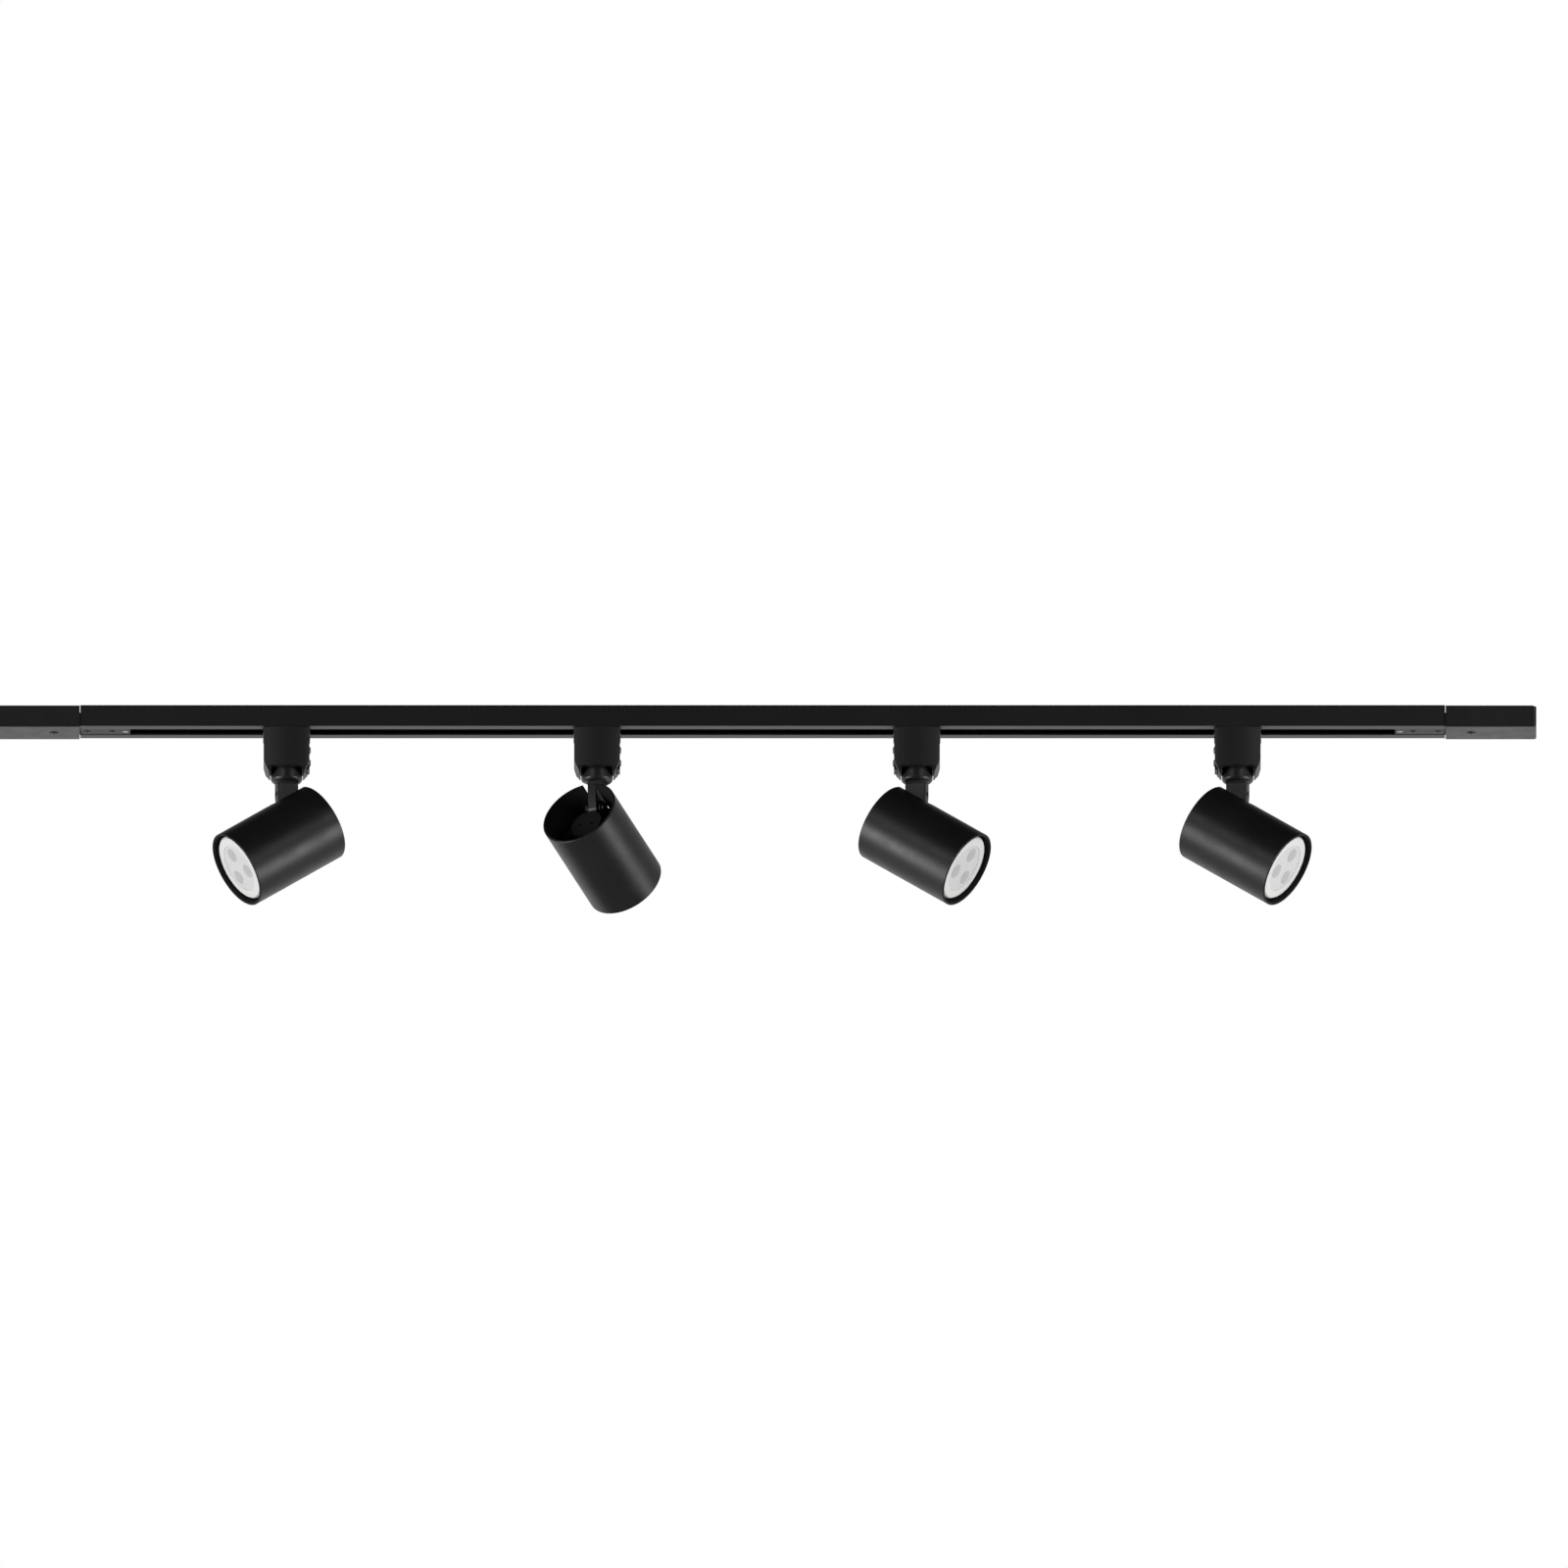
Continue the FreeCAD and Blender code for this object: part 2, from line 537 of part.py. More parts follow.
def contact_carrier():
    lid = plan(ADAPTER_WIDTH - 2 * LID_WALL - 2 * FIT_GAP,
               ADAPTER_DEPTH - 2 * LID_WALL - 2 * FIT_GAP, LID_FOOT, HOUSING_TOP, ADAPTER_CORNER_R)
    half_tab = TAB_WIDTH / 2 + TAB_SIDE_GAP
    lid = carve(lid, box(TAB_INNER - 2 * FIT_GAP, ADAPTER_WIDTH, -half_tab, half_tab,
                         LID_FOOT - 1, HOUSING_TOP + 1))
    neck = post(NECK_R, HOUSING_TOP, LIP_TOP + SLIDE_GAP)
    lugs = slab(LUG_WIDTH / 2, LUG_LENGTH / 2, LIP_TOP + SLIDE_GAP, LUG_TOP)
    lugs = lugs.makeFillet(LUG_WIDTH / 4, upright_edges(lugs))
    spine = slab(SPINE_LENGTH / 2, SPINE_HALF, LUG_TOP, SPINE_TOP)
    return carve(join(lid, neck, lugs, spine), *carrier_blades())


def lock_tab():
    half = TAB_WIDTH / 2
    outer = ADAPTER_WIDTH / 2
    plate = box(TAB_INNER, outer, -half, half, BLOCK_FOOT - TAB_BELOW_BLOCK, UNDERSIDE + TAB_NOSE_RISE)
    rail_half = half + TAB_RAIL_OVERLAP
    rail_foot = FLOOR_TOP + TAB_TRAVEL + 4 * FIT_GAP
    rail = box(TAB_INNER - FIT_GAP - TAB_RAIL_THICKNESS, TAB_INNER - FIT_GAP, -rail_half, rail_half,
               rail_foot, LID_FOOT)
    web = box(TAB_INNER - FIT_GAP, TAB_INNER, -half, half, rail_foot, LID_FOOT)
    ribs = []
    for drop in RIB_DROPS:
        z = UNDERSIDE - drop
        points = [V(outer, 1 - half, z - RIB_HEIGHT / 2), V(outer + RIB_PROUD, 1 - half, z),
                  V(outer, 1 - half, z + RIB_HEIGHT / 2)]
        ribs.append(prism(points, V(0, TAB_WIDTH - 2, 0)))
    return join(plate, rail, web, *ribs)


# ---- swivel, drawn with the aim along +X ----
def swivel_collar():
    """Domed collar, its hollow stem up through the adapter's floor, and the flange that holds it.

    The dome is hollowed underneath, each side of a middle rib, so that the shade's rear rim
    swings clear of it.
    """
    flange_foot = FLOOR_TOP + SWIVEL_GAP
    stem_top = flange_foot + STEM_FLANGE_THICKNESS
    rim = COLLAR_TOP - COLLAR_RIM
    dome_foot = COLLAR_TOP - COLLAR_RIM - COLLAR_DOME_DROP
    side = [
        Part.makeLine(V(0, 0, stem_top), V(STEM_FLANGE_R, 0, stem_top)),
        Part.makeLine(V(STEM_FLANGE_R, 0, stem_top), V(STEM_FLANGE_R, 0, flange_foot)),
        Part.makeLine(V(STEM_FLANGE_R, 0, flange_foot), V(STEM_R, 0, flange_foot)),
        Part.makeLine(V(STEM_R, 0, flange_foot), V(STEM_R, 0, COLLAR_TOP)),
        Part.makeLine(V(STEM_R, 0, COLLAR_TOP), V(COLLAR_R, 0, COLLAR_TOP)),
        Part.makeLine(V(COLLAR_R, 0, COLLAR_TOP), V(COLLAR_R, 0, rim)),
        Part.Arc(V(COLLAR_R, 0, rim),
                 V(COLLAR_DOME_R + 0.8 * (COLLAR_R - COLLAR_DOME_R), 0,
                   rim - 0.62 * COLLAR_DOME_DROP),
                 V(COLLAR_DOME_R, 0, dome_foot)).toShape(),
        Part.makeLine(V(COLLAR_DOME_R, 0, dome_foot), V(COLLAR_FOOT_R, 0, COLLAR_FOOT)),
        Part.makeLine(V(COLLAR_FOOT_R, 0, COLLAR_FOOT), V(0, 0, COLLAR_FOOT)),
        Part.makeLine(V(0, 0, COLLAR_FOOT), V(0, 0, stem_top)),
    ]
    body = Part.Face(Part.Wire(side)).revolve(V(0, 0, 0), Z_AXIS, 360)
    body = join(body, stop_sector(STEM_FLANGE_R - 1, STOP_R - FIT_GAP, flange_foot, stem_top, 0))
    bore = post(STEM_BORE_R, COLLAR_FOOT - 1, stem_top + 1)
    socket = post(TENON_R + RUNNING_GAP, COLLAR_FOOT - 1, COLLAR_FOOT + TENON_HEIGHT)
    rib_half = SLOT_IN_SHADE / 2 - RIB_SIDE_GAP
    hollows = [pin_along_y(RIM_PATH_R + RIM_CLEARANCE, y, y + COLLAR_R, 0, PIVOT_Z)
               for y in (rib_half, -rib_half - COLLAR_R)]
    return carve(body, bore, socket, *hollows)


def swivel_arm():
    half = ARM_WIDTH / 2
    top = COLLAR_FOOT
    knee = top - ARM_STRAIGHT
    edges = [
        Part.makeLine(V(-half, 0, top), V(half, 0, top)),
        Part.makeLine(V(half, 0, top), V(half, 0, knee)),
        Part.makeLine(V(half, 0, knee), V(ARM_END_R, 0, PIVOT_Z)),
        Part.Arc(V(ARM_END_R, 0, PIVOT_Z), V(0, 0, PIVOT_Z - ARM_END_R),
                 V(-ARM_END_R, 0, PIVOT_Z)).toShape(),
        Part.makeLine(V(-ARM_END_R, 0, PIVOT_Z), V(-half, 0, knee)),
        Part.makeLine(V(-half, 0, knee), V(-half, 0, top)),
    ]
    bar = Part.Face(Part.Wire(edges)).extrude(V(0, ARM_THICKNESS, 0))
    bar.translate(V(0, -ARM_THICKNESS / 2, 0))
    long_edges = []
    for edge in bar.Edges:
        ends = [v.Point for v in edge.Vertexes]
        flat = abs(ends[0].y - ends[-1].y) < 1e-6
        if flat and min(p.z for p in ends) < top - 1:
            long_edges.append(edge)
    bar = bar.makeFillet(ARM_EDGE_R, long_edges)
    tenon = post(TENON_R, top, top + TENON_HEIGHT - 2 * FIT_GAP)
    wire_foot = knee
    bore = post(WIRE_BORE_R, wire_foot, top + TENON_HEIGHT)
    way_out = Part.makeCylinder(WIRE_BORE_R - 0.3, ARM_WIDTH, V(0, 0, wire_foot + WIRE_BORE_R), X_AXIS)
    pivot_hole = pin_along_y(PIVOT_R + RUNNING_GAP, -ARM_THICKNESS, ARM_THICKNESS, 0, PIVOT_Z)
    return carve(join(bar, tenon), bore, way_out, pivot_hole)


# ---- shade and lamp: drawn level, aim along +X, tilt pivot at the origin ----
def along_shade(radius, s0, s1, y=0.0, up=0.0):
    """Cylinder along the shade, from s0 to s1 measured from the rear rim."""
    start = V(s0 - PIVOT_FROM_REAR, y, up - PIVOT_ABOVE_AXIS)
    return Part.makeCylinder(radius, s1 - s0, start, X_AXIS)


def turned_along_shade(points):
    """Outline of (distance from the rear rim, radius), turned about the shade's axis."""
    outline = [V(s - PIVOT_FROM_REAR, 0, r - PIVOT_ABOVE_AXIS) for s, r in points]
    face = Part.Face(Part.makePolygon(outline + outline[:1]))
    return face.revolve(V(0, 0, -PIVOT_ABOVE_AXIS), X_AXIS, 360)


def shade_tube():
    shoulder_end = PLATE_FRONT + SHOULDER_LENGTH
    shoulder_r = SHADE_BORE_R - SHOULDER_HEIGHT
    bevel = SHADE_WALL / 4
    wall = turned_along_shade([
        (bevel, SHADE_R), (SHADE_LENGTH - bevel, SHADE_R), (SHADE_LENGTH, SHADE_R - bevel),
        (SHADE_LENGTH, SHADE_BORE_R), (shoulder_end, SHADE_BORE_R), (shoulder_end, shoulder_r),
        (PLATE_FRONT, shoulder_r), (PLATE_FRONT, SHADE_BORE_R), (0, SHADE_BORE_R),
        (0, SHADE_R - bevel)])
    half = SLOT_IN_SHADE / 2
    slot = box(-PIVOT_FROM_REAR - 1, SLOT_END_FROM_REAR - PIVOT_FROM_REAR, -half, half,
               -PIVOT_ABOVE_AXIS + SHADE_BORE_R / 2, SHADE_R)
    front = SLOT_END_FROM_REAR - PIVOT_FROM_REAR
    slot = slot.makeFillet(SLOT_CORNER_R, [e for e in upright_edges(slot)
                                           if abs(e.Vertexes[0].Point.x - front) < 1e-6])
    return carve(wall, slot)


def socket_bracket():
    """Plate across the shade, with two ears back to the tilt pivot."""
    disc = along_shade(SHADE_BORE_R - FIT_GAP, PLATE_FROM_REAR, PLATE_FRONT)
    x_plate = PLATE_FROM_REAR - PIVOT_FROM_REAR
    notch_foot = -EAR_R - FIT_GAP
    notch = box(x_plate - 1, PLATE_FRONT - PIVOT_FROM_REAR + 1, -EAR_INNER, EAR_INNER,
                notch_foot, SHADE_R)
    hole = along_shade(SOCKET_R + FIT_GAP, PLATE_FROM_REAR - 1, PLATE_FRONT + 1)
    vents = [along_shade(VENT_R, PLATE_FROM_REAR - 1, PLATE_FRONT + 1, side * VENT_OUT)
             for side in (-1, 1)]
    ears = []
    for y0, y1 in ((EAR_INNER, EAR_OUTER), (-EAR_OUTER, -EAR_INNER)):
        web = box(0, x_plate + PLATE_THICKNESS / 2, y0, y1, -EAR_R, EAR_R)
        ears.append(join(web, pin_along_y(EAR_R, y0, y1)))
    body = join(carve(disc, notch, hole, *vents), *ears)
    return carve(body, pin_along_y(PIVOT_R + RUNNING_GAP, -2 * EAR_OUTER, 2 * EAR_OUTER))


def lamp_socket():
    body = join(along_shade(SOCKET_R, SOCKET_REAR, PLATE_FRONT),
                along_shade(SOCKET_FLANGE_R, PLATE_FRONT, SOCKET_FRONT))
    cuts = []
    for side in (-1, 1):
        y = side * PIN_SPACING / 2
        cuts.append(along_shade(PIN_HOLE_R, SOCKET_FRONT - PIN_HOLE_DEPTH, SOCKET_FRONT + 1, y))
        cuts.append(along_shade(LEAD_HOLE_R, SOCKET_REAR - 1, SOCKET_FRONT, y))
    return carve(body, *cuts)


def lamp_body():
    """Spot lamp: stepped base with two headed pins, flared housing, rim round the lens seat."""
    rim_foot = LAMP_FRONT - LAMP_RIM
    seat = LAMP_FRONT - LENS_SEAT
    length = rim_foot - SOCKET_FRONT
    body = turned_along_shade([
        (SOCKET_FRONT, 0), (SOCKET_FRONT, LAMP_BASE_R), (SOCKET_FRONT + length / 6, LAMP_BASE_R + 1),
        (SOCKET_FRONT + length / 4, LAMP_BASE_R + 4), (rim_foot, LAMP_R - 1), (rim_foot + 1, LAMP_R),
        (LAMP_FRONT - 1, LAMP_R), (LAMP_FRONT, LAMP_R - 1), (LAMP_FRONT, LENS_R + FIT_GAP),
        (seat, LENS_R + FIT_GAP), (seat, 0)])
    pins = []
    pin_end = SOCKET_FRONT - PIN_LENGTH
    for side in (-1, 1):
        y = side * PIN_SPACING / 2
        pins.append(along_shade(PIN_R, pin_end, SOCKET_FRONT + 1, y))
        pins.append(along_shade(PIN_HEAD_R, pin_end, pin_end + PIN_HEAD_THICKNESS, y))
    return join(body, *pins)


def lamp_lens():
    """Clear disc with three shallow dimples, one over each emitter."""
    seat = LAMP_FRONT - LENS_SEAT
    front = seat + LENS_THICKNESS
    disc = along_shade(LENS_R, seat, front)
    ball_r = (LENS_DIMPLE_R ** 2 + LENS_DIMPLE_DEPTH ** 2) / (2 * LENS_DIMPLE_DEPTH)
    balls = []
    for turn in (90, 210, 330):
        angle = math.radians(turn)
        centre = V(front - LENS_DIMPLE_DEPTH + ball_r - PIVOT_FROM_REAR,
                   LENS_DIMPLE_OUT * math.cos(angle),
                   LENS_DIMPLE_OUT * math.sin(angle) - PIVOT_ABOVE_AXIS)
        balls.append(Part.makeSphere(ball_r, centre))
    return carve(disc, *balls)


def pivot_screw():
    """Shoulder screw through the ears and the arm, and its nut."""
    head_end = -EAR_OUTER - PIVOT_HEAD_THICKNESS
    nut_end = EAR_OUTER + NUT_THICKNESS
    head = pin_along_y(PIVOT_HEAD_R, head_end, -EAR_OUTER)
    rim = [e for e in head.Edges if all(abs(v.Point.y - head_end) < 1e-6 for v in e.Vertexes)]
    head = head.makeFillet(PIVOT_HEAD_THICKNESS * 0.4, rim)
    recess = PIVOT_HEAD_R * 0.55
    cross = [box(-recess, recess, head_end - 1, head_end + 1, -0.4, 0.4),
             box(-0.4, 0.4, head_end - 1, head_end + 1, -recess, recess)]
    screw = carve(join(head, pin_along_y(PIVOT_R, -EAR_OUTER, nut_end)), *cross)
    corner = NUT_FLATS / math.sqrt(3)
    hexagon = []
    for n in range(6):
        angle = math.radians(60 * n)
        hexagon.append(V(corner * math.cos(angle), EAR_OUTER, corner * math.sin(angle)))
    nut = carve(prism(hexagon, V(0, NUT_THICKNESS, 0)),
                pin_along_y(PIVOT_R + RUNNING_GAP, EAR_OUTER - 1, nut_end + 1))
    return shell_of([screw, nut])


# ---- placing ----
def hung(shape, x, azimuth):
    """A piece drawn about the swivel axis, turned and moved to its place on the track."""
    placed = shape.copy()
    placed.rotate(V(0, 0, 0), Z_AXIS, azimuth)
    placed.translate(V(x, 0, 0))
    return placed


def aimed(shape, x, azimuth, below):
    """A piece drawn about the tilt pivot, tilted down, turned and moved to its place."""
    placed = shape.copy()
    placed.rotate(V(0, 0, 0), Y_AXIS, below)
    placed.rotate(V(0, 0, 0), Z_AXIS, azimuth)
    placed.translate(V(x, 0, PIVOT_Z))
    return placed


def track_nodes():
    cover = end_cover()
    base = end_base()
    return {
        "track_channel": track_channel(),
        "conductor_insulators": both_sides(one_insulator()),
        "live_conductors": both_sides(one_conductor()),
        "ground_strip": ground_strip(),
        "feed_contacts": at_both_ends(feed_fingers()),
        "right_end_cover": cover,
        "left_end_cover": turned_half(cover),
        "right_end_base": base,
        "left_end_base": turned_half(base),
        "cover_screws": at_both_ends([cover_screw()]),
        "tongue_screws": at_both_ends(tongue_screws()),
        "lock_screws": at_both_ends([lock_screw()]),
    }


def head_nodes():
    fixed = {
        "adapter_housing": adapter_housing(),
        "contact_carrier": contact_carrier(),
        "contact_blades": shell_of(carrier_blades()),
        "lock_tab": lock_tab(),
    }
    turning = {
        "swivel_collar": swivel_collar(),
        "swivel_arm": swivel_arm(),
    }
    tilting = {
        "pivot_screw": pivot_screw(),
        "shade_tube": shade_tube(),
        "socket_bracket": socket_bracket(),
        "lamp_socket": lamp_socket(),
        "lamp_body": lamp_body(),
        "lamp_lens": lamp_lens(),
    }
    nodes = {}
    for number, (x, tab_side, azimuth, below) in enumerate(HEADS, start=1):
        tab_azimuth = 0 if tab_side > 0 else 180
        for name, shape in fixed.items():
            nodes[f"{name}_{number}"] = hung(shape, x, tab_azimuth)
        for name, shape in turning.items():
            nodes[f"{name}_{number}"] = hung(shape, x, azimuth)
        for name, shape in tilting.items():
            nodes[f"{name}_{number}"] = aimed(shape, x, azimuth, below)
    return nodes


def main():
    os.makedirs("parts", exist_ok=True)
    nodes = {**track_nodes(), **head_nodes()}
    for name, shape in nodes.items():
        shape.exportStep(f"parts/{name}.step")
    print(len(nodes), "nodes written")


main()
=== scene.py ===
"""Looks of the four-head track light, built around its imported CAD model.

Everything is in metres in the CAD frame: X along the track, Z up, the ceiling face at z = 0 and
the front towards -Y.
"""
import json
import math

import bmesh
import bpy
from mathutils import Matrix, Vector


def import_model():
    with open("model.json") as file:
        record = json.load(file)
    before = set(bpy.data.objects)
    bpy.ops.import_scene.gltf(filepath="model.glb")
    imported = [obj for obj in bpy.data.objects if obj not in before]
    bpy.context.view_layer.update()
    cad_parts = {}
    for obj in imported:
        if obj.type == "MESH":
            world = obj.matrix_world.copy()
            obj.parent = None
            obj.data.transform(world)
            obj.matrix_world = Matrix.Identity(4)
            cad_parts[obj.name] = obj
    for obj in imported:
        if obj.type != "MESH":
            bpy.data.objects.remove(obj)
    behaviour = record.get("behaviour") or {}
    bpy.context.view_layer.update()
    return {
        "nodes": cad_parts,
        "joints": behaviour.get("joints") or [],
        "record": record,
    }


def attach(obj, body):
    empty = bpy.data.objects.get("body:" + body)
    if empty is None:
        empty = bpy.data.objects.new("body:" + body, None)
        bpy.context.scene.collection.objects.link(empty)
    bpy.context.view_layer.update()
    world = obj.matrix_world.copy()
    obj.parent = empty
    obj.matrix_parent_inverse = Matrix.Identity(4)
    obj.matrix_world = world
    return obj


MM = 0.001

# ---- camera: the eye is below the fixture and looks up at it ----
CAMERA_TARGET = Vector((15.4 * MM, 0.0, -54.4 * MM))
CAMERA_ELEVATION = math.radians(-15.0)
CAMERA_DISTANCE = 3.0
CAMERA_WIDTH = 1.1329         # width of the picture; parallel edges stay parallel
CAMERA_REACH = 60.0           # far enough for the whole floor

# ---- studio ----
FLOOR_Z = -3.4
FLOOR_SIZE = 8.0
FLOOR_TONE = (0.86, 0.86, 0.85, 1.0)
FLOOR_ROUGHNESS = 0.8
BRIGHT_SIDE = (0.0, 0.8, -0.6)  # the room is brightest behind and below the fixture
BACK_LIGHT = 0.9              # brightness of the white room on that side
FRONT_LIGHT = 0.03            # and on the side across from it
BRIGHTENS_FROM = -0.1         # cosine to the bright side where the room starts to brighten
BRIGHT_FROM = 0.7             # and where it is fully bright
LIGHTS_AIM = (0.0, 0.0, -0.08)  # about the height of the tilt pivots
# the two right-hand soft boxes, in metres and watts; the left-hand ones mirror them
LOW_BOX = {"place": (2.2, -0.75, -0.85), "size": (1.3, 1.0), "power": 32.0}
HIGH_BOX = {"place": (1.5, -2.0, 0.5), "size": (0.8, 0.9), "power": 5.5}

# ---- fixture details that are only looks ----
LENS_DIMPLE_OUT = 10.5 * MM   # lenslet centres from the lamp's axis
LENSLET_R = 5.4 * MM
LENSLET_RISE = 0.35 * MM
LENSLET_SINK = 0.1 * MM       # how far its rim sits in the lens's dimple
LENSLET_RIB = 0.3             # height of a lenslet's ribs, as a share of its rise
LENSLET_RIBS = 6
LENSLET_SPOKES = 48
LENSLET_TURNS = (90, 210, 330)  # degrees about the lamp's axis
OUTWARD = 0.4                 # cosine; a shade's face that turns less outward gets the darker matt coat, painted shadow
SOFT_EDGE = 0.25 * MM         # worn radius on folded and moulded edges
SOFT_EDGE_STEPS = 2
SHARP_ANGLE = math.radians(35)  # an edge that turns more than this gets the radius
WELD_GAP = 0.002 * MM         # doubled points of one face and the next are closer than this

# ---- finishes: sizes of clouds and grain, and how deep the grain is ----
COAT_CLOUDS = 40 * MM
COAT_TONES = (0.85, 1.2)      # a coat's tone wanders between these shares of itself
HAND_MARKS = 14 * MM
ORANGE_PEEL = 0.9 * MM
ORANGE_PEEL_DEPTH = 0.012 * MM
TRACK_CLOUDS = 60 * MM
TRACK_PEEL = 0.5 * MM
TRACK_PEEL_DEPTH = 0.004 * MM
DIE_LINES = 0.35 * MM         # across; they run along X
DIE_LINE_STRETCH = (0.01, 1.0, 1.0)
DIE_LINE_DEPTH = 0.006 * MM
MOULDING_CLOUDS = 25 * MM
MOULDING_TONES = (0.9, 1.12)
SPARK_GRAIN = 0.25 * MM
PLASTIC_IOR = 1.46
METAL_CLOUDS = 9 * MM
METAL_SHADE = 0.8             # tone of the darker clouds
METAL_LINE_STRETCH = (0.05, 1.0, 1.0)
METAL_LINE_DEPTH = 0.004 * MM
LAMP_CLOUDS = 12 * MM
LAMP_WARMTH = (1.0, 0.995, 0.985)
LAMP_SHADE = 0.97
LAMP_GRAIN = 0.3 * MM
LAMP_GRAIN_DEPTH = 0.003 * MM
LENS_CLOUDS = 7 * MM
LENS_TONES = (0.95, 1.0)
LENS_ROUGHNESS = (0.32, 0.44)
FROST_GRAIN = 0.4 * MM
FROST_DEPTH = 0.006 * MM
LENS_IOR = 1.49

HEAD_NUMBERS = (1, 2, 3, 4)


def build_camera():
    data = bpy.data.cameras.new("camera")
    data.type = "ORTHO"
    data.ortho_scale = CAMERA_WIDTH
    data.clip_end = CAMERA_REACH
    camera = bpy.data.objects.new("camera", data)
    bpy.context.scene.collection.objects.link(camera)
    back = Vector((0.0, -math.cos(CAMERA_ELEVATION), math.sin(CAMERA_ELEVATION)))
    camera.location = CAMERA_TARGET + back * CAMERA_DISTANCE
    camera.rotation_mode = "QUATERNION"
    camera.rotation_quaternion = (-back).to_track_quat("-Z", "Y")
    bpy.context.scene.camera = camera


# ---- node helpers ----
class Graph:
    """A material's node tree with short calls for the few nodes used here."""

    def __init__(self, name):
        self.material = bpy.data.materials.new(name)
        self.material.use_nodes = True
        self.tree = self.material.node_tree
        self.shader = self.tree.nodes["Principled BSDF"]

    def node(self, kind, **settings):
        made = self.tree.nodes.new(kind)
        for key, value in settings.items():
            setattr(made, key, value)
        return made

    def link(self, source, target):
        self.tree.links.new(source, target)

    def position(self, stretch=(1.0, 1.0, 1.0)):
        """Object coordinates, stretched."""
        coordinates = self.node("ShaderNodeTexCoord")
        mapping = self.node("ShaderNodeMapping")
        mapping.inputs["Scale"].default_value = stretch
        self.link(coordinates.outputs["Object"], mapping.inputs["Vector"])
        return mapping.outputs["Vector"]

    def noise(self, where, size, detail=2.0, roughness=0.5):
        """Noise whose features are about size metres across."""
        made = self.node("ShaderNodeTexNoise")
        made.inputs["Scale"].default_value = 1.0 / size
        made.inputs["Detail"].default_value = detail
        made.inputs["Roughness"].default_value = roughness
        self.link(where, made.inputs["Vector"])
        return made.outputs["Fac"]

    def spread(self, value, low, high, source=(0.3, 0.7)):
        """Maps the middle of a noise to a range."""
        made = self.node("ShaderNodeMapRange")
        made.inputs["From Min"].default_value = source[0]
        made.inputs["From Max"].default_value = source[1]
        made.inputs["To Min"].default_value = low
        made.inputs["To Max"].default_value = high
        self.link(value, made.inputs["Value"])
        return made.outputs["Result"]

    def tint(self, value, dark, light):
        """Colour between two, by a noise."""
        made = self.node("ShaderNodeMix", data_type="RGBA")
        made.inputs["A"].default_value = (*dark, 1.0)
        made.inputs["B"].default_value = (*light, 1.0)
        self.link(self.spread(value, 0.0, 1.0), made.inputs["Factor"])
        return made.outputs["Result"]

    def bump(self, height, depth, below=None):
        made = self.node("ShaderNodeBump")
        made.inputs["Strength"].default_value = 1.0
        made.inputs["Distance"].default_value = depth
        self.link(height, made.inputs["Height"])
        if below is not None:
            self.link(below, made.inputs["Normal"])
        return made.outputs["Normal"]

    def cloudy(self, clouds, tone, shares):
        """Grey base colour that wanders with the clouds between two shares of its tone."""
        dark, light = (grey(tone * share) for share in shares)
        self.link(self.tint(clouds, dark, light), self.shader.inputs["Base Color"])

    def glossy(self, value, low, high):
        """Roughness that wanders with a noise."""
        self.link(self.spread(value, low, high), self.shader.inputs["Roughness"])

    def surface(self, normal):
        self.link(normal, self.shader.inputs["Normal"])

    def set(self, **values):
        for key, value in values.items():
            self.shader.inputs[key.replace("_", " ")].default_value = value


def grey(value):
    return (value, value, value)


def coated_metal(name, tone, roughness):
    """Black powder coat: orange peel, faint cloudiness and handling marks in the gloss."""
    g = Graph(name)
    where = g.position()
    g.cloudy(g.noise(where, COAT_CLOUDS, 3.0), tone, COAT_TONES)
    g.glossy(g.noise(where, HAND_MARKS, 4.0, 0.6), roughness - 0.03, roughness + 0.05)
    g.surface(g.bump(g.noise(where, ORANGE_PEEL), ORANGE_PEEL_DEPTH))
    return g.material


def drawn_metal(name, tone, roughness):
    """Coated aluminium extrusion: fine die lines along X under a thin satin coat."""
    g = Graph(name)
    where = g.position()
    g.cloudy(g.noise(where, TRACK_CLOUDS, 3.0), tone, COAT_TONES)
    lines = g.noise(g.position(DIE_LINE_STRETCH), DIE_LINES)
    g.glossy(lines, roughness - 0.03, roughness + 0.04)
    peel = g.noise(where, TRACK_PEEL)
    g.surface(g.bump(peel, TRACK_PEEL_DEPTH, g.bump(lines, DIE_LINE_DEPTH)))
    return g.material


def moulded_plastic(name, tone, roughness, grain_depth):
    """Moulded plastic with a fine spark-eroded grain."""
    g = Graph(name)
    where = g.position()
    g.cloudy(g.noise(where, MOULDING_CLOUDS), tone, MOULDING_TONES)
    grain = g.noise(where, SPARK_GRAIN, 3.0, 0.6)
    g.glossy(grain, roughness - 0.04, roughness + 0.06)
    g.surface(g.bump(grain, grain_depth))
    g.set(IOR=PLASTIC_IOR)
    return g.material


def bare_metal(name, colour, roughness, line_size):
    """Rolled or plated metal with faint drawing lines."""
    g = Graph(name)
    clouds = g.noise(g.position(), METAL_CLOUDS, 3.0)
    dark = tuple(c * METAL_SHADE for c in colour)
    g.link(g.tint(clouds, dark, colour), g.shader.inputs["Base Color"])
    lines = g.noise(g.position(METAL_LINE_STRETCH), line_size, 3.0)
    g.glossy(lines, roughness - 0.06, roughness + 0.08)
    g.surface(g.bump(lines, METAL_LINE_DEPTH))
    g.set(Metallic=1.0)
    return g.material


